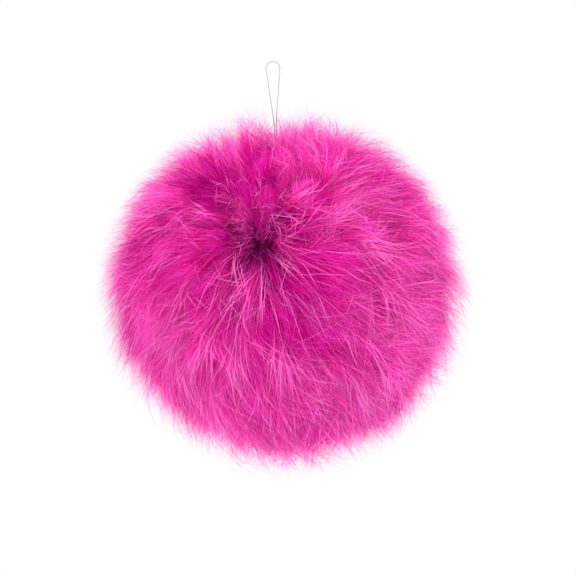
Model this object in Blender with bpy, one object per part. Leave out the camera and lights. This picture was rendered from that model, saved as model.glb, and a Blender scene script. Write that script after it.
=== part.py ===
"""A long-pile fur pom pom hanging from a loop of nylon thread.

The fur ball is one piece: a gathered, filled ball of backing cloth with the pile
drawn as tapering locks whose roots are fused into it. The pile is parted at one
point, on the front and a little above the middle, where the cloth is drawn in.
From there it is combed over the sides and meets the thread at the top.

Metres, +Z up, front towards -Y. The origin is the point where the loop bears on
whatever holds it.
"""

import math
import random

import bmesh
import bpy
from mathutils import Matrix, Vector, noise

MM = 0.001

# The ball
REACH = 76 * MM  # from the ball's centre to the tips of the locks, on average
BACKING_RADIUS = 44 * MM
BALL_CENTRE = Vector((4.7, 0.0, -98.9)) * MM

# The parting, where the cloth is drawn in and the pile falls away on all sides
PARTING_LEFT = math.radians(14)
PARTING_UP = math.radians(25)
DIMPLE_DEPTH = 9 * MM
DIMPLE_WIDTH = math.radians(35)
BARE_AT_PARTING = math.radians(29)

# The pile
COMBING = (  # angles from the parting: of a lock's place in the pile, of its root and of its tip
    {"place_deg": 0, "root_deg": 0, "tip_deg": 0},
    {"place_deg": 28, "root_deg": 7, "tip_deg": 17},
    {"place_deg": 45, "root_deg": 18, "tip_deg": 38},
    {"place_deg": 60, "root_deg": 32, "tip_deg": 57},
    {"place_deg": 90, "root_deg": 65, "tip_deg": 91},
    {"place_deg": 120, "root_deg": 101, "tip_deg": 122},
    {"place_deg": 150, "root_deg": 140, "tip_deg": 151},
    {"place_deg": 180, "root_deg": 180, "tip_deg": 180},
)
LOCK_COURSES = (  # height: share of the pile's depth; width: share of the room between neighbours
    {"height": 0.20, "width": 0.84},
    {"height": 0.45, "width": 0.85},
    {"height": 0.70, "width": 0.76},
    {"height": 0.90, "width": 0.46},
)
ROOT_WIDTH = 0.80
TIP_WANDER = 0.30  # how far a tip may stray inside its own room
LENGTH_VARIATION = 0.05
ROOT_JITTER = 0.14  # how uneven the spacing of the roots is, as a share of it
WAVE = 3.0 * MM  # slow waves through the pile
WAVE_LENGTH = 38 * MM
SAG = 2.5 * MM  # how far level locks droop at their tips
CALM_WIDTH = math.radians(40)  # the locks around the thread stand straight up
OUTLINE = (  # clock_deg: anticlockwise from the right, seen from the front; share: of REACH
    {"clock_deg": 0, "share": 1.02},
    {"clock_deg": 30, "share": 1.03},
    {"clock_deg": 60, "share": 1.01},
    {"clock_deg": 90, "share": 0.97},
    {"clock_deg": 120, "share": 1.00},
    {"clock_deg": 150, "share": 1.04},
    {"clock_deg": 180, "share": 1.03},
    {"clock_deg": 225, "share": 0.95},
    {"clock_deg": 255, "share": 0.97},
    {"clock_deg": 300, "share": 1.00},
    {"clock_deg": 330, "share": 1.01},
)

# The thread
THREAD_DIAMETER = 0.4 * MM
THREAD_POINTS = 76
THREAD_ROUTE_MM = (  # across, up: from the left end in the fur, over the top and back down
    (1.96, -54.4),
    (1.60, -48.0),
    (1.22, -41.0),
    (0.84, -34.0),
    (0.50, -28.0),
    (0.05, -23.3),
    (-0.70, -18.9),
    (-1.45, -13.5),
    (-2.25, -8.3),
    (-2.90, -3.9),
    (-2.85, -1.9),
    (-1.75, -0.3),
    (0.00, 0.2),
    (1.75, -0.3),
    (2.80, -1.9),
    (2.84, -3.9),
    (2.55, -8.3),
    (2.20, -13.5),
    (1.80, -18.9),
    (1.50, -23.3),
    (1.45, -28.0),
    (1.68, -34.0),
    (2.02, -41.0),
    (2.38, -48.0),
    (2.73, -54.4),
)

PARTING = Vector(
    (
        -math.sin(PARTING_LEFT) * math.cos(PARTING_UP),
        -math.cos(PARTING_LEFT) * math.cos(PARTING_UP),
        math.sin(PARTING_UP),
    )
)
THREAD_EXIT = (Vector((2.33, 0.0, -54.4)) * MM - BALL_CENTRE).normalized()


def clear_scene():
    for obj in list(bpy.data.objects):
        bpy.data.objects.remove(obj, do_unlink=True)


def material(name, colour, roughness, transmission=0.0):
    made = bpy.data.materials.new(name)
    made.use_nodes = True
    shader = made.node_tree.nodes["Principled BSDF"]
    shader.inputs["Base Color"].default_value = (*colour, 1.0)
    shader.inputs["Roughness"].default_value = roughness
    shader.inputs["Metallic"].default_value = 0.0
    shader.inputs["Transmission Weight"].default_value = transmission
    return made


def between(knots, x_name, y_name, x):
    """The value at x on straight lines between the knots."""
    for low, high in zip(knots, knots[1:]):
        if x <= high[x_name]:
            share = (x - low[x_name]) / (high[x_name] - low[x_name])
            return low[y_name] + share * (high[y_name] - low[y_name])
    return knots[-1][y_name]


def outline_share(direction):
    """How far the pile reaches that way. The outline's unevenness fades towards front and back."""
    clock = math.degrees(math.atan2(direction.z, direction.x)) % 360
    closed = OUTLINE + ({"clock_deg": 360, "share": OUTLINE[0]["share"]},)
    at_rim = between(closed, "clock_deg", "share", clock)
    rim = 1 - direction.y**2
    return 1 + (at_rim - 1) * rim


def backing_radius(direction):
    """The backing's radius that way, drawn in at the parting."""
    away = direction.angle(PARTING)
    return BACKING_RADIUS - DIMPLE_DEPTH * math.exp(-((away / DIMPLE_WIDTH) ** 2))


def combed(point):
    """Carries a point of the straight pile to where the combed pile has it."""
    depth_share = max(point.length - BACKING_RADIUS, 0.0) / (REACH - BACKING_RADIUS)
    place = math.degrees(point.angle(PARTING))
    root = between(COMBING, "place_deg", "root_deg", place)
    tip = between(COMBING, "place_deg", "tip_deg", place)
    calm = 1 - math.exp(-((point.angle(THREAD_EXIT) / CALM_WIDTH) ** 2))
    lean = (root + (tip - root) * depth_share**0.8 - place) * calm
    axis = PARTING.cross(point).normalized()
    turned = Matrix.Rotation(math.radians(lean), 3, axis) @ point
    wave = noise.noise_vector(turned / WAVE_LENGTH) * WAVE
    level = 1 - (turned.z / turned.length) ** 2
    droop = Vector((0, 0, -SAG * level))
    return turned + (wave + droop) * depth_share**1.5 * calm


def in_room(corners, centre, width, stray):
    """The cell's corner directions drawn in towards a centre that strays inside the cell."""
    middle = (centre + stray * (1 - width)).normalized()
    return [(middle + (corner - middle) * width).normalized() for corner in corners]


def lock_rings(corners, reach_share, stray):
    """The three corners of each course of one lock, from root to tip, and the tip."""
    centre = sum(corners, Vector()).normalized()
    root = backing_radius(centre)
    reach = REACH * outline_share(centre) * reach_share
    rings = []
    for course in LOCK_COURSES:
        radius = root + (reach - root) * course["height"]
        ring = in_room(corners, centre, course["width"], stray)
        rings.append([way * radius for way in ring])
    return rings, (centre + stray).normalized() * reach


def smooth_route(route, count):
    """Evenly spaced points on a smooth curve through the route's own points."""
    ends = [route[0] * 2 - route[1], *route, route[-1] * 2 - route[-2]]
    fine = []
    for a, b, c, d in zip(ends, ends[1:], ends[2:], ends[3:]):
        for step in range(20):
            t = step / 20
            fine.append(
                (b * 2 + (c - a) * t + (a * 2 - b * 5 + c * 4 - d) * t**2 + (b * 3 - a - c * 3 + d) * t**3)
                / 2
            )
    fine.append(route[-1])
    lengths = [0.0]
    for start, end in zip(fine, fine[1:]):
        lengths.append(lengths[-1] + (end - start).length)
    points, k = [], 0
    for n in range(count):
        goal = lengths[-1] * n / (count - 1)
        while k < len(fine) - 2 and lengths[k + 1] < goal:
            k += 1
        share = (goal - lengths[k]) / (lengths[k + 1] - lengths[k])
        points.append(fine[k].lerp(fine[k + 1], share))
    return points


def thread_line():
    """The thread's centreline, as evenly spaced points."""
    route = [Vector((across * MM, 0.0, up * MM)) for across, up in THREAD_ROUTE_MM]
    return smooth_route(route, THREAD_POINTS)


def root_mesh():
    """The backing: a ball of triangles, one for each lock's root, unevenly spaced."""
    roots = bmesh.new()
    bmesh.ops.create_icosphere(roots, subdivisions=3, radius=1.0)
    spacing = min(edge.calc_length() for edge in roots.edges)
    across = (THREAD_EXIT - PARTING * THREAD_EXIT.dot(PARTING)).normalized()
    turn = Matrix((across, PARTING.cross(across), PARTING)).transposed()
    for vertex in roots.verts:
        way = turn @ vertex.co
        if way.angle(PARTING) > BARE_AT_PARTING:
            way += Vector(random.uniform(-1, 1) for _ in range(3)) * spacing * ROOT_JITTER
        vertex.co = way.normalized()
    at_exit = min(roots.verts, key=lambda vertex: vertex.co.angle(THREAD_EXIT))
    at_exit.co = THREAD_EXIT
    return roots


def grow_lock(ball, face):
    """Insets a root face and draws a lock out of it, course by course, ending in a point."""
    corners = [vertex.co.normalized() for vertex in face.verts]
    centre = sum(corners, Vector()).normalized()
    if centre.angle(PARTING) < BARE_AT_PARTING:
        return False
    reach_share = 1 + random.uniform(-LENGTH_VARIATION, LENGTH_VARIATION)
    stray = (random.choice(corners) - centre) * random.uniform(0, TIP_WANDER)
    rings, tip = lock_rings(corners, reach_share, stray)
    bmesh.ops.inset_individual(ball, faces=[face], thickness=0.001 * BACKING_RADIUS)
    for vertex, way in zip(face.verts, in_room(corners, centre, ROOT_WIDTH, Vector())):
        vertex.co = way * backing_radius(way)
    for ring in rings:
        grown = bmesh.ops.extrude_discrete_faces(ball, faces=[face])
        face = grown["faces"][0]
        for vertex, place in zip(face.verts, ring):
            vertex.co = place
    poked = bmesh.ops.poke(ball, faces=[face])
    poked["verts"][0].co = tip
    return True


def make_fur_ball():
    random.seed(7)
    noise.seed_set(7)
    ball = root_mesh()
    for vertex in ball.verts:
        vertex.co = vertex.co * backing_radius(vertex.co)
    locks = sum(grow_lock(ball, face) for face in list(ball.faces))
    bmesh.ops.triangulate(ball, faces=ball.faces[:])
    for vertex in ball.verts:
        vertex.co = combed(vertex.co)
    mesh = bpy.data.meshes.new("fur_ball")
    ball.to_mesh(mesh)
    ball.free()
    mesh.shade_smooth()
    mesh.set_sharp_from_angle(angle=math.radians(50))
    obj = bpy.data.objects.new("fur_ball", mesh)
    obj.location = BALL_CENTRE
    obj.data.materials.append(material("dyed_fur", (0.72, 0.02, 0.27), 0.75))
    bpy.context.scene.collection.objects.link(obj)
    print(locks, "locks")


def make_thread():
    points = thread_line()
    curve = bpy.data.curves.new("hanging_thread", "CURVE")
    curve.dimensions = "3D"
    curve.bevel_depth = THREAD_DIAMETER / 2
    curve.bevel_resolution = 2
    curve.use_fill_caps = True
    spline = curve.splines.new("POLY")
    spline.points.add(len(points) - 1)
    for place, point in zip(spline.points, points):
        place.co = (*point, 1.0)
    obj = bpy.data.objects.new("hanging_thread", curve)
    obj.data.materials.append(material("clear_nylon", (0.80, 0.80, 0.80), 0.25, 0.6))
    bpy.context.scene.collection.objects.link(obj)


def main():
    clear_scene()
    make_fur_ball()
    make_thread()


main()
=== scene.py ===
import math

import bpy
import numpy as np
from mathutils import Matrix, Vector, kdtree


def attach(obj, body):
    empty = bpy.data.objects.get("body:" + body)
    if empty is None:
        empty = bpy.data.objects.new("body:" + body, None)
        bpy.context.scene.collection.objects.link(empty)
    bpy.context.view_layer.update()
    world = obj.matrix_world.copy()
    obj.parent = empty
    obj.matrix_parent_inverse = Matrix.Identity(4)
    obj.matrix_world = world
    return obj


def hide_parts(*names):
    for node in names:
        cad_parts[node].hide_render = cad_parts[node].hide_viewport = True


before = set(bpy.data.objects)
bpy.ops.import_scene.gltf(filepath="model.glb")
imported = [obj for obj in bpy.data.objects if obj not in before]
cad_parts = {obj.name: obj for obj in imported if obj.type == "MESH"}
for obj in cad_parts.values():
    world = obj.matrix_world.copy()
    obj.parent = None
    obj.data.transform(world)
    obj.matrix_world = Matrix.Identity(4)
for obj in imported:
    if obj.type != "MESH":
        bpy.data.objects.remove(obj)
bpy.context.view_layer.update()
print("frame loaded,", len(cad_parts), "nodes")
mm = 0.001

# each draws from its own seed, so that a change to one leaves the others as they are
seeds = {
    "toneWave": 5,
    "clumps": 11,
    "streak": 21,
    "fineStreak": 22,
    "lump": 23,
    "drift": 30,
    "pile": 100,
    "guard": 200,
}


def linearColour(hexColour):
    channels = [int(hexColour[i : i + 2], 16) / 255 for i in (1, 3, 5)]
    return [c / 12.92 if c <= 0.04045 else ((c + 0.055) / 1.055) ** 2.4 for c in channels] + [1.0]


def addNode(owner, kind, inputs, **settings):
    # inputs holds plain values, or sockets to link from
    tree = owner.node_tree
    node = tree.nodes.new(kind)
    for name, value in settings.items():
        setattr(node, name, value)
    for name, value in inputs.items():
        if isinstance(value, bpy.types.NodeSocket):
            tree.links.new(value, node.inputs[name])
        else:
            node.inputs[name].default_value = value
    return node


def newMaterial(name):
    made = bpy.data.materials.new(name)
    made.use_nodes = True
    return made, made.node_tree.nodes["Principled BSDF"]


def setSockets(node, values):
    for name, value in values.items():
        node.inputs[name].default_value = value


def deselectAll():
    if bpy.context.object and bpy.context.object.mode != "OBJECT":
        bpy.ops.object.mode_set(mode="OBJECT")
    bpy.ops.object.select_all(action="DESELECT")


view = {
    "middle": (6.4, 0, -97.2),  # mm, what the camera is aimed at
    "width": 247.7,  # mm, how wide a view it takes in at the ball
    "distance": 1300,  # mm
    "elevation": 0,  # degrees
}


def makeCamera():
    data = bpy.data.cameras.new("camera")
    camera = bpy.data.objects.new("camera", data)
    bpy.context.scene.collection.objects.link(camera)
    bpy.context.scene.camera = camera
    data.lens = data.sensor_width * view["distance"] / view["width"]
    tilt = math.radians(view["elevation"])
    aim = Vector(view["middle"]) * mm
    camera.location = aim + Vector((0, -math.cos(tilt), math.sin(tilt))) * view["distance"] * mm
    camera.rotation_euler = (math.pi / 2 - tilt, 0, 0)
    print("camera made")


makeCamera()

thread = {
    "diameter": 0.4,  # mm, light fishing line
    "stretches": 5,  # straight stretches between two points of the route
    "roundness": 3,
    "colour": "#77777A",
    # across, back and up in mm, from the left end in the fur, over the top and back down
    "route": (
        (1.96, 0, -54.4),
        (1.60, 6, -48.0),
        (1.22, 11, -41.0),
        (0.84, 9, -34.0),
        (0.50, 4, -28.0),
        (0.05, 0, -23.3),
        (-0.70, 0, -18.9),
        (-1.45, 0, -13.5),
        (-2.25, 0, -8.3),
        (-2.90, 0, -3.9),
        (-2.85, 0, -1.9),
        (-1.75, 0, -0.3),
        (0.00, 0, 0.2),
        (1.75, 0, -0.3),
        (2.80, 0, -1.9),
        (2.84, 0, -3.9),
        (2.55, 0, -8.3),
        (2.20, 0, -13.5),
        (1.80, 0, -18.9),
        (1.50, 0, -23.3),
        (1.45, 4, -28.0),
        (1.68, 9, -34.0),
        (2.02, 11, -41.0),
        (2.38, 6, -48.0),
        (2.73, 0, -54.4),
    ),
}


def smoothRoute(route, steps):
    # a curve that passes through every point of the route
    ends = [route[0] * 2 - route[1], *route, route[-1] * 2 - route[-2]]
    points = []
    for a, b, c, d in zip(ends, ends[1:], ends[2:], ends[3:]):
        for t in (k / steps for k in range(steps)):
            even = a * 2 - b * 5 + c * 4 - d
            odd = b * 3 - a - c * 3 + d
            points.append((b * 2 + (c - a) * t + even * t**2 + odd * t**3) / 2)
    return [*points, route[-1]]


def makeThread():
    route = [Vector(place) * mm for place in thread["route"]]
    points = smoothRoute(route, thread["stretches"])
    curve = bpy.data.curves.new("nylonThread", "CURVE")
    curve.dimensions = "3D"
    curve.bevel_depth = thread["diameter"] / 2 * mm
    curve.bevel_resolution = thread["roundness"]
    curve.use_fill_caps = True
    spline = curve.splines.new("POLY")
    spline.points.add(len(points) - 1)
    for place, point in zip(spline.points, points):
        place.co = (*point, 1)
    made = bpy.data.objects.new("nylonThread", curve)
    bpy.context.scene.collection.objects.link(made)
    material, shader = newMaterial("clearNylonLine")
    # drawn nylon: clear, smooth and glossy, so it shows as a pale grey line with a bright edge
    setSockets(
        shader,
        {"Base Color": linearColour(thread["colour"]), "Roughness": 0.3, "IOR": 1.53},
    )
    curve.materials.append(material)
    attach(made, "root")
    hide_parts("hanging_thread")


makeThread()

ball = {
    "centre": (4.7, 0, -98.9),  # mm
    "reach": 74,  # mm, radius at most of the tips
    "longest": 82,  # mm, no tip goes past this
    "backing": 0.60,  # share of the reach where the hairs are rooted
    "rise": 1.3,  # over 1, hairs come up sooner and then lie down along the ball
    "partingLeft": 17,  # degrees, the way from which the pile is combed
    "partingUp": 45,
    "hollowLeft": 13,  # degrees, the middle of the hollow
    "hollowUp": 19,
    "hollowHalf": 12,  # degrees, half its length up the ball
    "hollowWidth": 10,  # degrees
    "hollowDepth": 0.32,  # share of the reach that is lost
    # share of the radius by which the hollow begins to lengthen, and the span to its full length
    "hollowFront": (0.2, 0.6),
    "threadLean": -3.1,  # degrees, where the thread comes out at the top
    "calm": 30,  # degrees around the thread in which the pile stands straight
    "tidy": ((15, 0.35), (60, 1)),  # degrees from the parting, share of the tilts there
    "sag": 2.5,  # mm
    "sagLate": 1.5,  # 1 sags evenly along a hair, more sags nearer its tip
    "leanLate": 1.2,  # the same for how it leans
    "bendLate": 2.5,  # and for how it bends
    "drift": 4.0,  # mm, how far the pile wanders in slow waves
    "driftSize": 45,  # mm from wave to wave
    "waveRadius": 70,  # mm, where the waves are measured
    "frontFade": 20,  # mm, marks on the front fade out over this before the rim
    # degrees from the parting: a hair's place, its root and its tip
    "combing": (
        (0, 0, 0),
        (20, 10, 20),
        (45, 22, 48),
        (60, 34, 66),
        (90, 62, 95),
        (120, 99, 124),
        (150, 139, 152),
        (180, 180, 180),
    ),
    # degrees anticlockwise from the right, seen from the front, and the share of reach
    "outline": (
        (0, 1.02),
        (30, 1.03),
        (60, 1.01),
        (90, 0.96),
        (120, 1.00),
        (150, 1.04),
        (180, 1.03),
        (225, 0.94),
        (255, 0.96),
        (300, 0.99),
        (320, 0.97),
        (345, 1.00),
        (360, 1.02),
    ),
}

# The marks below lie across and up in mm from the ball's centre, as seen from the front.
# One that has a depth too is a spot in space.

# where fingers have turned the pile, degrees anticlockwise
strokes = (
    {"at": (-4, 62), "turn": 80, "width": 24},
    {"at": (26, 62), "turn": 110, "width": 18},
    {"at": (22, 50), "turn": 45, "width": 11},
    {"at": (-36, 52), "turn": 70, "width": 18},
    {"at": (8, 34), "turn": 35, "width": 9},
    {"at": (-20, 28), "turn": -20, "width": 12},
    {"at": (-46, 22), "turn": -30, "width": 20},
    {"at": (-22, -14), "turn": 15, "width": 18},
    {"at": (18, -58), "turn": 35, "width": 14},
    {"at": (6, -17), "turn": 22, "width": 10},
    {"at": (18, 8), "turn": 35, "width": 12},
    {"at": (56, -16), "turn": 45, "width": 24},
    {"at": (38, -36), "turn": 35, "width": 16},
    {"at": (44, 24), "turn": 45, "width": 22},
)

# where it was brushed aside, mm to the right
brushed = (
    {"at": (28, 58, 0), "right": -7, "width": 18},
    {"at": (6, 56, -45), "right": 3, "width": 9},
    {"at": (-18, -62, 0), "right": -6, "width": 14},
    {"at": (50, 48, 0), "right": -5, "width": 14},
    {"at": (-30, 55, 0), "right": -3, "width": 14},
)

# painted light and shade: where the pile is painted paler or deeper than elsewhere, between the
# deep and the bright colours; darker towards the middle and upper left, paler towards the rim and
# along the top
paintedLightAndShade = (
    {"at": (0, -18), "tone": -0.85, "width": 38},
    {"at": (16, 22), "tone": -0.90, "width": 15},
    {"at": (-36, 50), "tone": -1.10, "width": 19},
    {"at": (-12, 46), "tone": -0.50, "width": 12},
    {"at": (-27, 22), "tone": 0.90, "width": 11},
    {"at": (2, -2), "tone": -0.40, "width": 15},
    {"at": (50, -46), "tone": 0.80, "width": 34},
    {"at": (56, 4), "tone": 0.70, "width": 30},
    {"at": (-45, -40), "tone": 0.50, "width": 30},
    {"at": (42, 52), "tone": 0.30, "width": 30},
    {"at": (0, -60), "tone": 0.75, "width": 27},
    {"at": (-44, 58, 0), "tone": 1.10, "width": 16},
    {"at": (-22, 69, 0), "tone": 1.10, "width": 16},
    {"at": (2, 73, 0), "tone": 1.10, "width": 16},
    {"at": (26, 69, 0), "tone": 1.10, "width": 16},
    {"at": (46, 58, 0), "tone": 0.60, "width": 16},
)

# where it is sheltered from the light, below the deep colours
shadows = (
    {"at": (-10, 29), "tone": -0.40, "width": 7},
    {"at": (-9, 20), "tone": -0.55, "width": 8},
    {"at": (-8, 11), "tone": -0.45, "width": 8},
    {"at": (-7, 2), "tone": -0.22, "width": 7},
    {"at": (14, 24), "tone": -0.12, "width": 11},
    {"at": (-36, 50), "tone": -0.18, "width": 15},
)


def onBall(leftward, upward):
    # the direction that lies so many degrees left of the front and above it
    side, rise = math.radians(leftward), math.radians(upward)
    level = math.cos(rise)
    return np.array([-math.sin(side) * level, -math.cos(side) * level, math.sin(rise)])


parting = onBall(ball["partingLeft"], ball["partingUp"])
partingUpward = onBall(ball["partingLeft"], ball["partingUp"] + 90)
hollowWay = onBall(ball["hollowLeft"], ball["hollowUp"])
hollowRun = onBall(ball["hollowLeft"], ball["hollowUp"] + 90)
threadWay = onBall(90, 90 + ball["threadLean"])
centre = np.array(ball["centre"], float)


def unit(v):
    return v / np.maximum(np.linalg.norm(v, axis=-1, keepdims=True), 1e-9)


def degreesFrom(ways, way):
    return np.degrees(np.arccos(np.clip((ways * way).sum(-1), -1, 1)))


def fromHollow(ways):
    # degrees from the hollow, which is a short line up the ball
    half = math.radians(ball["hollowHalf"])
    share = np.clip(ways @ hollowRun / math.sin(half), -1, 1)
    start, span = ball["hollowFront"]
    near = np.clip((ways @ hollowWay - start) / span, 0, 1)
    middle = unit(hollowWay + (share * near * math.tan(half))[..., None] * hollowRun)
    return degreesFrom(ways, middle)


def evenWays(count, rng, unevenness):
    # directions spread evenly over a ball, then moved a little each
    n = np.arange(count) + 0.5
    height = 1 - 2 * n / count
    turn = n * math.pi * (3 - math.sqrt(5))
    level = np.sqrt(1 - height**2)
    ways = np.stack([level * np.cos(turn), level * np.sin(turn), height], 1)
    spacing = math.sqrt(4 * math.pi / count)
    return unit(ways + rng.normal(0, unevenness * spacing, ways.shape))


waves = {
    "count": 6,
    "spread": (0.7, 1.4),  # how much shorter and longer than the size asked for
    "height": 2.4,  # what makes their sum about one unit high
}


def smoothNoise(points, size, seed):
    # slow waves in all directions
    rng = np.random.default_rng(seed)
    total = np.zeros(points.shape[:-1])
    for _ in range(waves["count"]):
        way = unit(rng.normal(size=3)) * 2 * math.pi / size * rng.uniform(*waves["spread"])
        total += np.sin(points @ way + rng.uniform(0, 2 * math.pi))
    return total / waves["height"]


def reachAt(way):
    # radius that the tips have in a direction
    clock = np.degrees(np.arctan2(way[..., 2], way[..., 0])) % 360
    angles, shares = zip(*ball["outline"])
    share = 1 + (np.interp(clock, angles, shares) - 1) * (1 - way[..., 1] ** 2)
    sunk = 1 - ball["hollowDepth"] * np.exp(-((fromHollow(way) / ball["hollowWidth"]) ** 2))
    return ball["reach"] * share * sunk


def radiusAt(tip, s):
    # how far out a hair is at the share s of its length
    return tip * (ball["backing"] + (1 - ball["backing"]) * (1 - (1 - s) ** ball["rise"]))


def combed(place, s):
    # the direction in which a hair of that place lies, at the share s of its length
    away = degreesFrom(place, parting)
    along = unit(place - (place @ parting)[..., None] * parting)
    places, roots, tips = zip(*ball["combing"])
    root, tip = np.interp(away, places, roots), np.interp(away, places, tips)
    calm = 1 - np.exp(-((degreesFrom(place, threadWay) / ball["calm"]) ** 2))
    turned = np.radians(away + (root + (tip - root) * s - away) * calm)[..., None]
    return np.cos(turned) * parting + np.sin(turned) * along


def markShare(tips, mark):
    # how much of a mark is felt at each tip
    across, up, *depth = mark["at"]
    off = (tips[:, 0] - across) ** 2 + (tips[:, 2] - up) ** 2
    if depth:
        return np.exp(-(off + (tips[:, 1] - depth[0]) ** 2) / mark["width"] ** 2)
    front = np.clip(-tips[:, 1] / ball["frontFade"], 0, 1)
    return np.exp(-off / mark["width"] ** 2) * front


def summed(tips, marks, what):
    return sum(markShare(tips, mark) * mark[what] for mark in marks)


def marked(tone, tips):
    # the tone once the painted light and shade and the painted shadows are laid over it: 0 is
    # deep and 1 is bright
    return np.clip(tone + summed(tips, paintedLightAndShade, "tone"), 0, 1) + summed(tips, shadows, "tone")


def nearest(ways, centres):
    tree = kdtree.KDTree(len(centres))
    for i, c in enumerate(centres):
        tree.insert(c, i)
    tree.balance()
    return np.array([tree.find(w)[1] for w in ways])


# hairs gather in wisps, wisps in tufts and tufts in locks
clumps = {
    "locks": {
        "count": 550,
        "unevenness": 0.35,  # share of the distance between them
        "pull": 0.50,  # how closely the hairs are drawn together
        "tilt": 11,  # mm, how far the tips lean
        "length": 0.028,  # share of the reach by which they differ
        "tone": 0.22,
        "paintedLightByLength": 7,  # painted light: how much paler the longer ones, which stand out, are painted
    },
    "tufts": {
        "count": 2600,
        "unevenness": 0.40,
        "pull": 0.80,
        "tilt": 15,
        "length": 0.032,
        "tone": 0.32,
        "paintedLightByLength": 10,
    },
    "wisps": {
        "count": 9000,
        "unevenness": 0.45,
        "pull": 0.30,
        "tilt": 5,
        "length": 0.025,
        "tone": 0.16,
        "paintedLightByLength": 4,
    },
}
pullSpread = (0.5, 1.3)  # the loosest and closest clumps, as a share of their pull


def makeClumps():
    for n, group in enumerate(clumps.values()):
        rng = np.random.default_rng(seeds["clumps"] + n)
        count = group["count"]
        group["ways"] = evenWays(count, rng, group["unevenness"])
        group["pulls"] = group["pull"] * rng.uniform(*pullSpread, count)
        group["tilts"] = rng.normal(0, group["tilt"] / 2, (count, 3))
        group["lengths"] = rng.normal(0, group["length"], count)
        group["tones"] = rng.normal(0, group["tone"], count)
    print("clumps placed")


makeClumps()


def hairModel(levels):
    # one three-sided hair, drawn out level by level and closed at its tip
    deselectAll()
    bpy.ops.mesh.primitive_circle_add(vertices=3, radius=1, fill_type="NGON")
    made = bpy.context.object
    bpy.ops.object.mode_set(mode="EDIT")
    for low, high in zip(levels, levels[1:]):
        bpy.ops.mesh.extrude_region_move(TRANSFORM_OT_translate={"value": (0, 0, high - low)})
    bpy.ops.mesh.merge(type="CENTER")
    bpy.ops.mesh.select_all(action="SELECT")
    bpy.ops.mesh.quads_convert_to_tris()
    bpy.ops.mesh.normals_make_consistent(inside=False)
    bpy.ops.object.mode_set(mode="OBJECT")
    corners = np.array([v.co for v in made.data.vertices])
    sides = np.array([p.vertices for p in made.data.polygons])
    bpy.data.objects.remove(made, do_unlink=True)
    return corners, sides


def crowded(hair, rng):
    # directions that keep to some tufts and leave others bare
    count = hair["count"]
    ways = clumps["tufts"]["ways"]
    full = rng.lognormal(0, hair["crowding"], len(ways))
    tuft = rng.choice(len(ways), count, p=full / full.sum())
    return unit(ways[tuft] + rng.normal(0, hair["spread"], (count, 3)))


def slowWave(place, size, seed):
    return smoothNoise(place * ball["waveRadius"], size, seed)


def plantHairs(hair, rng):
    # chooses where every hair stands and how it leans, curls and gathers
    count = hair["count"]
    if hair["crowding"]:
        place = crowded(hair, rng)
    else:
        place = evenWays(count, rng, hair["unevenness"])
    groups = [(group, nearest(place, group["ways"])) for group in clumps.values()]
    grown = {"place": place, "groups": groups}
    longer = rng.triangular(hair["shortest"], hair["usual"], hair["longest"], count)
    tone = hair["tone"] + rng.normal(0, hair["toneSpread"], count)
    tone = tone + hair["toneWave"] * slowWave(place, hair["toneWaveSize"], seeds["toneWave"])
    # painted light: longer hairs, which stand out of the fur, are paler and shorter ones deeper
    tone = tone + hair["paintedLightByLength"] * (longer - hair["usual"])
    lean = np.zeros((count, 3))
    for group, index in groups:
        longer = longer + group["lengths"][index]
        # each clump's own tone, with painted light making the longer clumps paler
        shade = group["tones"] + group["paintedLightByLength"] * group["lengths"]
        tone = tone + hair["toneOfClumps"] * shade[index]
        lean = lean + group["tilts"][index]
    most = hair["leanMost"]
    lean = lean + rng.triangular(-most, 0, most, (count, 3)) * hair["lean"]
    tidy = np.interp(degreesFrom(combed(place, 1), parting), *zip(*ball["tidy"]))
    drifts = [slowWave(place, ball["driftSize"], seeds["drift"] + k) for k in range(3)]
    grown["lean"] = ball["drift"] * np.stack(drifts, 1) + lean * tidy[:, None]
    grown["bend"] = rng.normal(0, hair["bend"], (count, 3))
    grown["curl"] = rng.normal(0, hair["curl"], (count, 3))
    grown["phase"] = rng.uniform(0, 2 * math.pi, (count, 1))
    grown["thick"] = rng.uniform(*hair["thickness"], (count, 1, 1))
    # the dense pile hides the rest, save in the hollow
    grown["start"] = np.interp(fromHollow(combed(place, 1)), *zip(*hair["start"]))[:, None]

    # the marks are felt where the tips lie, so those are found first, then found again
    grown["tip"] = np.full((count, 1), ball["reach"])
    grown["turn"] = np.zeros(count)
    tipWay = unit(hairLine(hair, grown, np.ones((1, 1)))[:, 0])
    tips = tipWay * reachAt(tipWay)[:, None]
    grown["turn"] = np.radians(summed(tips, strokes, "turn"))
    grown["lean"][:, 0] += summed(tips, brushed, "right")
    tipWay = unit(hairLine(hair, grown, np.ones((1, 1)))[:, 0])
    grown["tip"] = np.minimum(reachAt(tipWay) * longer, ball["longest"])[:, None]
    grown["tone"] = marked(tone, tipWay * grown["tip"])
    return grown


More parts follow.
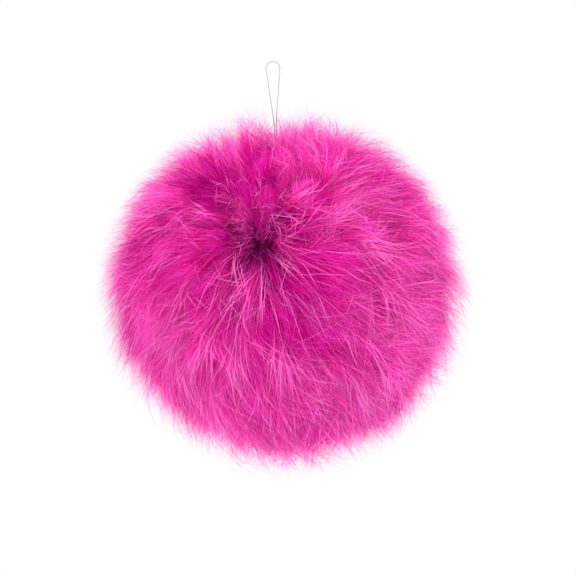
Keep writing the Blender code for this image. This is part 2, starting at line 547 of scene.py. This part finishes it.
def hairLine(hair, grown, t):
    # points of every hair at the shares t of what is drawn of it, in mm from the ball's centre
    start, tip = grown["start"], grown["tip"]
    s = start + (1 - start) * t
    gather = (np.sin(t * hair["gatherTurn"]) * hair["gather"])[..., None]
    way = grown["place"][:, None, :]
    for group, index in grown["groups"]:
        pull = gather * group["pulls"][index][:, None, None]
        way = way + (group["ways"][index][:, None, :] - way) * pull
    radius = radiusAt(tip, s)
    point = combed(unit(way), s) * radius[..., None]
    point = point + grown["lean"][:, None, :] * (t ** ball["leanLate"])[..., None]
    point = point + grown["bend"][:, None, :] * (t ** ball["bendLate"])[..., None]
    turn = t * hair["curls"] * 2 * math.pi + grown["phase"]
    point = point + grown["curl"][:, None, :] * (np.sin(turn) * t)[..., None]
    # turned about the outward line through the lower end
    low = combed(grown["place"][:, None, :], start) * radiusAt(tip, start)[..., None]
    out, free, angle = unit(low), point - low, grown["turn"][:, None, None]
    along = out * (free * out).sum(-1, keepdims=True)
    point = low + along + (free - along) * np.cos(angle) + np.cross(out, free) * np.sin(angle)
    point = unit(point) * radius[..., None]
    point[..., 2] -= ball["sag"] * (1 - (point[..., 2] / radius) ** 2) * s ** ball["sagLate"]
    return point


# across the map runs the hair's tone, up it the way from root to tip
toneMap = {
    "middle": 0.3,  # where the deep colours lie, with the sheltered to their left
    "margin": 0.01,
    "strip": 3 / 1024,  # how wide one hair lies on it
}


def mapAcross(tone):
    middle, margin = toneMap["middle"], toneMap["margin"]
    return np.clip(middle + (1 - middle) * tone, margin, 1 - margin)


def giveMap(mesh, u, v):
    uv = mesh.uv_layers.active or mesh.uv_layers.new(name="OFBake")
    uv.name = "OFBake"
    uv.data.foreach_set("uv", np.stack([u, v], -1).astype(np.float32).ravel())
    mesh.update()


def hairPoints(hair, grown, corners):
    # every corner of every hair in metres, and how far along its hair each lies
    levels, level = np.unique(np.round(corners[:, 2], 5), return_inverse=True)
    t = levels[None, :]
    spine = hairLine(hair, grown, t)
    ahead = hairLine(hair, grown, np.minimum(t + hair["step"], 1))
    tangent = unit(ahead - hairLine(hair, grown, np.maximum(t - hair["step"], 0)))
    # any way will do for the first side that differs from hair to hair and runs along none
    side = unit(np.cross(tangent, parting + hair["askew"] * grown["place"][:, None, :]))
    over = np.cross(tangent, side)
    angle = np.arctan2(corners[:, 1], corners[:, 0])[None, :, None]
    onAxis = np.hypot(corners[:, 0], corners[:, 1]) < 1e-4
    width = np.interp(levels, *zip(*hair["widths"]))[level] / 2
    ring = np.where(onAxis, 0, width)[None, :, None] * grown["thick"]
    around = np.cos(angle) * side[:, level] + np.sin(angle) * over[:, level]
    points = (spine[:, level] + ring * around + centre) * mm
    return points, (grown["start"] + (1 - grown["start"]) * t)[:, level]


def growHair(name, hair, seed, material):
    grown = plantHairs(hair, np.random.default_rng(seed))
    count = hair["count"]
    corners, sides = hairModel(hair["levels"])
    points, along = hairPoints(hair, grown, corners)
    faces = (sides[None] + np.arange(count)[:, None, None] * len(corners)).reshape(-1, 3)

    mesh = bpy.data.meshes.new(name)
    mesh.vertices.add(count * len(corners))
    mesh.vertices.foreach_set("co", points.astype(np.float32).ravel())
    mesh.loops.add(faces.size)
    mesh.loops.foreach_set("vertex_index", faces.astype(np.int32).ravel())
    mesh.polygons.add(len(faces))
    mesh.polygons.foreach_set("loop_start", np.arange(0, faces.size, 3, dtype=np.int32))
    mesh.polygons.foreach_set("use_smooth", np.ones(len(faces), bool))

    angle = np.arctan2(corners[:, 1], corners[:, 0])[sides][None]
    u = mapAcross(grown["tone"])[:, None, None] + toneMap["strip"] * angle / math.pi
    v = along[:, sides] * (1 - 2 * toneMap["margin"]) + toneMap["margin"]
    giveMap(mesh, u, v)
    made = bpy.data.objects.new(name, mesh)
    bpy.context.scene.collection.objects.link(made)
    mesh.materials.append(material)
    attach(made, "root")
    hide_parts("fur_ball")
    print(name, count, "hairs,", len(faces), "triangles")


def pileMaterial(name, colours):
    # dyed acrylic fibre thinning to the tips; the dark roots are painted shade of the deep fur,
    # and the paler tips are partly dye and partly painted light on the hairs on top
    material, shader = newMaterial(name)
    place = addNode(material, "ShaderNodeUVMap", {}, uv_map="OFBake")
    parts = addNode(material, "ShaderNodeSeparateXYZ", {"Vector": place.outputs["UV"]})
    tones = []
    for tone in ("sheltered", "deep", "bright"):
        ramp = addNode(material, "ShaderNodeValToRGB", {"Fac": parts.outputs["Y"]})
        for stop in colours["stops"][1:-1]:
            ramp.color_ramp.elements.new(stop)
        for element, shade in zip(ramp.color_ramp.elements, colours[tone]):
            element.color = linearColour(shade)
        tones.append(ramp.outputs["Color"])
    # several sockets of a mixer have one name, so they go by number: how much, from and to
    colour, middle = tones[0], toneMap["middle"]
    for low, high, tone in ((0, middle, tones[1]), (middle, 1, tones[2])):
        share = addNode(
            material,
            "ShaderNodeMapRange",
            {"Value": parts.outputs["X"], "From Min": low, "From Max": high},
        )
        mix = addNode(
            material,
            "ShaderNodeMix",
            {0: share.outputs["Result"], 6: colour, 7: tone},
            data_type="RGBA",
        )
        colour = mix.outputs[2]
    material.node_tree.links.new(colour, shader.inputs["Base Color"])
    # fibres this fine scatter their shine, so hardly any is left
    setSockets(shader, {"Roughness": 0.6, "IOR": 1.5, "Specular IOR Level": 0.02})
    through = addNode(material, "ShaderNodeBsdfTranslucent", {"Color": colour})
    both = addNode(
        material,
        "ShaderNodeMixShader",
        {0: colours["through"], 1: shader.outputs["BSDF"], 2: through.outputs["BSDF"]},
    )
    output = material.node_tree.nodes["Material Output"]
    material.node_tree.links.new(both.outputs["Shader"], output.inputs["Surface"])
    return material


# Each row runs from root to tip through the stops, its dark roots painted shade of the deep fur:
# hairs in painted shadow, deep ones, and bright ones on top, paler partly by dye and partly by
# painted light. "through" is the light that shines through the fibres.
pileColours = {
    "stops": (0.0, 0.2, 0.5, 0.75, 1.0),
    "sheltered": ("#180010", "#300020", "#680448", "#8C0860", "#B0107C"),
    "deep": ("#38001F", "#740450", "#DC00A0", "#E400AC", "#EC14BA"),
    "bright": ("#480030", "#880860", "#F42CBC", "#FC56D0", "#FF92E4"),
    "through": 0.6,
}
# guard hairs: their pale tips are partly dye and partly painted highlight
guardColours = {
    "stops": (0.0, 0.2, 0.5, 0.75, 1.0),
    "sheltered": ("#180010", "#300020", "#70044C", "#A0087C", "#C034A0"),
    "deep": ("#38001F", "#740450", "#E0009C", "#E808B0", "#F430C4"),
    "bright": ("#480030", "#880860", "#F444C6", "#FF86DE", "#FFBCF0"),
    "through": 0.45,
}

# Real fibre is about 0.05 mm thick, too fine to show, so it is drawn about 0.17 mm thick.
pile = {
    "pieces": 3,
    "count": 48000,  # hairs in each piece
    "crowding": 0,  # how much fuller some tufts are than others
    "unevenness": 0.5,  # share of the distance between hairs
    "start": ((7, 0.15), (17, 0.45)),  # degrees from the hollow, share of a hair left out
    "shortest": 0.80,  # share of the reach
    "usual": 0.87,
    "longest": 1.13,
    "tone": 0.4,  # 0 is deep and 1 is bright
    "toneSpread": 0.05,
    "toneWave": 0.10,
    "toneWaveSize": 55,  # mm from wave to wave
    "paintedLightByLength": 1.0,
    "toneOfClumps": 2.0,
    "lean": 3.5,  # mm at the tip
    "leanMost": 2.2,  # times that
    "bend": 0.0,  # mm at the tip
    "curl": 0.0,  # mm
    "curls": 0.8,  # waves along a hair
    "gather": 0.9,  # how far the hairs follow the pull of their clumps
    "gatherTurn": 2.8,  # over half a turn gathers the middle of a hair more than its tip
    "thickness": (0.7, 1.3),  # share of the widths for the thinnest and thickest hairs
    "levels": (0.0, 1.0),
    "widths": ((0, 0.17), (1, 0)),  # share of the length, mm
    "step": 0.01,  # share of the length over which a hair's way is measured
    "askew": 0.31,  # how much a hair's place turns its first side
}
guard = {
    **pile,
    "count": 14000,
    "crowding": 1.3,
    "spread": 0.03,  # share of the ball's radius over which a tuft's hairs stand
    "start": ((6, 0.6), (30, 0.55)),
    "shortest": 0.84,
    "usual": 0.96,
    "longest": 1.10,
    "tone": 0.6,
    "toneSpread": 0.45,
    "paintedLightByLength": 3.0,
    "toneOfClumps": 2.0,
    "lean": 8.0,
    "bend": 2.0,
    "curl": 0.4,
    "curls": 0.7,
    "gather": 0.4,
    "levels": (0.0, 0.45, 1.0),
    "widths": ((0, 0.06), (0.45, 0.17), (1, 0)),
}

# darker than the hairs, as painted shade of the lower pile beneath them
underfurColours = {
    "stops": (0.0, 0.4, 0.7, 1.0),
    "sheltered": ("#200014", "#300020", "#400028", "#500034"),
    "deep": ("#600040", "#940068", "#B80480", "#C80890"),
    "bright": ("#740050", "#A80874", "#C41490", "#D444AC"),
    "through": 0.3,
}
underfur = {
    "subdivisions": 6,
    "share": 0.865,  # of the reach
    "shareInHollow": 0.72,
    "hollowWidth": 14,  # degrees
    "streak": 9,  # mm, how far apart the streaks lie
    "fineStreak": 0.6,  # height of the streaks that lie twice as close
    "streakLength": 0.35,  # how much slower they change along their length
    "streakHeight": 0.7,  # mm
    "lump": 18,  # mm, how far apart the lumps lie
    "lumpHeight": 1.2,  # mm
    "tone": 0.5,
    # painted light and shade: crests of the streaks and lumps are paler, their low parts deeper
    "streakTone": 0.15,
    "lumpTone": 0.15,
    "depth": (0.7, 0.1),  # share of the way from root to tip, and how far streaks change it, their low parts painted darker as shade
}


def makeUnderfur():
    # the crowded lower pile: matt and soft, with streaks that run the way the pile is combed
    deselectAll()
    bpy.ops.mesh.primitive_ico_sphere_add(subdivisions=underfur["subdivisions"], radius=1)
    made = bpy.context.object
    made.name = made.data.name = "densePile"
    mesh = made.data
    co = np.zeros(len(mesh.vertices) * 3, np.float32)
    mesh.vertices.foreach_get("co", co)
    way = unit(co.reshape(-1, 3).astype(float))
    turn = np.arctan2(way @ np.cross(parting, partingUpward), way @ partingUpward)
    away = np.radians(degreesFrom(way, parting)) * underfur["streakLength"]
    flow = np.stack([np.cos(turn), np.sin(turn), away], 1) * ball["reach"]
    size = underfur["streak"]
    fine = underfur["fineStreak"] * smoothNoise(flow, size / 2, seeds["fineStreak"])
    streak = smoothNoise(flow, size, seeds["streak"]) + fine
    lump = smoothNoise(way * ball["reach"], underfur["lump"], seeds["lump"])
    inHollow = np.exp(-((fromHollow(way) / underfur["hollowWidth"]) ** 2))
    share = underfur["share"] + (underfur["shareInHollow"] - underfur["share"]) * inHollow
    radius = reachAt(way) * share
    radius = radius + underfur["streakHeight"] * streak + underfur["lumpHeight"] * lump
    points = way * radius[:, None]
    mesh.vertices.foreach_set("co", ((points + centre) * mm).astype(np.float32).ravel())

    # painted light and shade: paler on the crests of the streaks and lumps, deeper between them
    tone = underfur["tone"] + underfur["streakTone"] * streak + underfur["lumpTone"] * lump
    tone = marked(tone, points / share[:, None])
    corner = np.zeros(len(mesh.loops), np.int32)
    mesh.loops.foreach_get("vertex_index", corner)
    # painted shade: the low parts of the streaks take colours nearer the root, so they are darker
    depth, change = underfur["depth"]
    v = np.clip(depth + change * streak[corner], toneMap["margin"], 1 - toneMap["margin"])
    giveMap(mesh, mapAcross(tone[corner]), v)
    bpy.ops.object.shade_smooth()
    mesh.materials.append(pileMaterial("underfurDensePile", underfurColours))
    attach(made, "root")
    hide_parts("fur_ball")
    print("underfur", len(mesh.polygons), "triangles")


makeUnderfur()
pileFibre = pileMaterial("dyedPileWithPaintedShading", pileColours)
guardFibre = pileMaterial("dyedGuardHairWithPaintedShading", guardColours)
for n in range(pile["pieces"]):
    growHair(f"pile{n + 1}", pile, seeds["pile"] + n, pileFibre)
growHair("guardHair", guard, seeds["guard"], guardFibre)


studio = {
    "floorDrop": 520,  # mm below the loop
    "floorSize": 3000,  # mm
    "floorColour": "#F4F4F4",
    "tentStrength": 2.25,
    "seenStrength": 1.0,  # what the camera sees of the tent
    "keyPlace": (50, -1200, -50),  # mm
    "keySize": 600,  # mm
    "keyPower": 11,  # W
}


def makeFloor():
    deselectAll()
    drop = studio["floorDrop"] * mm
    bpy.ops.mesh.primitive_plane_add(size=studio["floorSize"] * mm, location=(0, 0, -drop))
    floor = bpy.context.object
    floor.name = "floor"
    # uncoated paper: dull, so it has no gloss or reflection
    material, shader = newMaterial("matteWhitePaper")
    setSockets(shader, {"Base Color": linearColour(studio["floorColour"]), "Roughness": 0.9})
    floor.data.materials.append(material)


def makeTent():
    # the tent of light round the object is brighter than the white that the camera sees
    world = bpy.data.worlds.new("studioWorld")
    bpy.context.scene.world = world
    world.use_nodes = True
    background = world.node_tree.nodes["Background"]
    ray = addNode(world, "ShaderNodeLightPath", {})
    seen = addNode(
        world,
        "ShaderNodeMapRange",
        {
            "Value": ray.outputs["Is Camera Ray"],
            "To Min": studio["tentStrength"],
            "To Max": studio["seenStrength"],
        },
    )
    world.node_tree.links.new(seen.outputs["Result"], background.inputs["Strength"])
    setSockets(background, {"Color": (1, 1, 1, 1)})


def makeKeyLight():
    key = bpy.data.lights.new("softBox", "AREA")
    key.shape = "SQUARE"
    key.size = studio["keySize"] * mm
    key.energy = studio["keyPower"]
    lamp = bpy.data.objects.new("softBox", key)
    lamp.location = Vector(studio["keyPlace"]) * mm
    aim = Vector(view["middle"]) * mm - lamp.location
    lamp.rotation_euler = aim.to_track_quat("-Z", "Y").to_euler()
    bpy.context.scene.collection.objects.link(lamp)


makeFloor()
makeTent()
makeKeyLight()
bpy.context.scene.view_settings.view_transform = "Standard"
print("studio made")

bpy.context.view_layer.update()
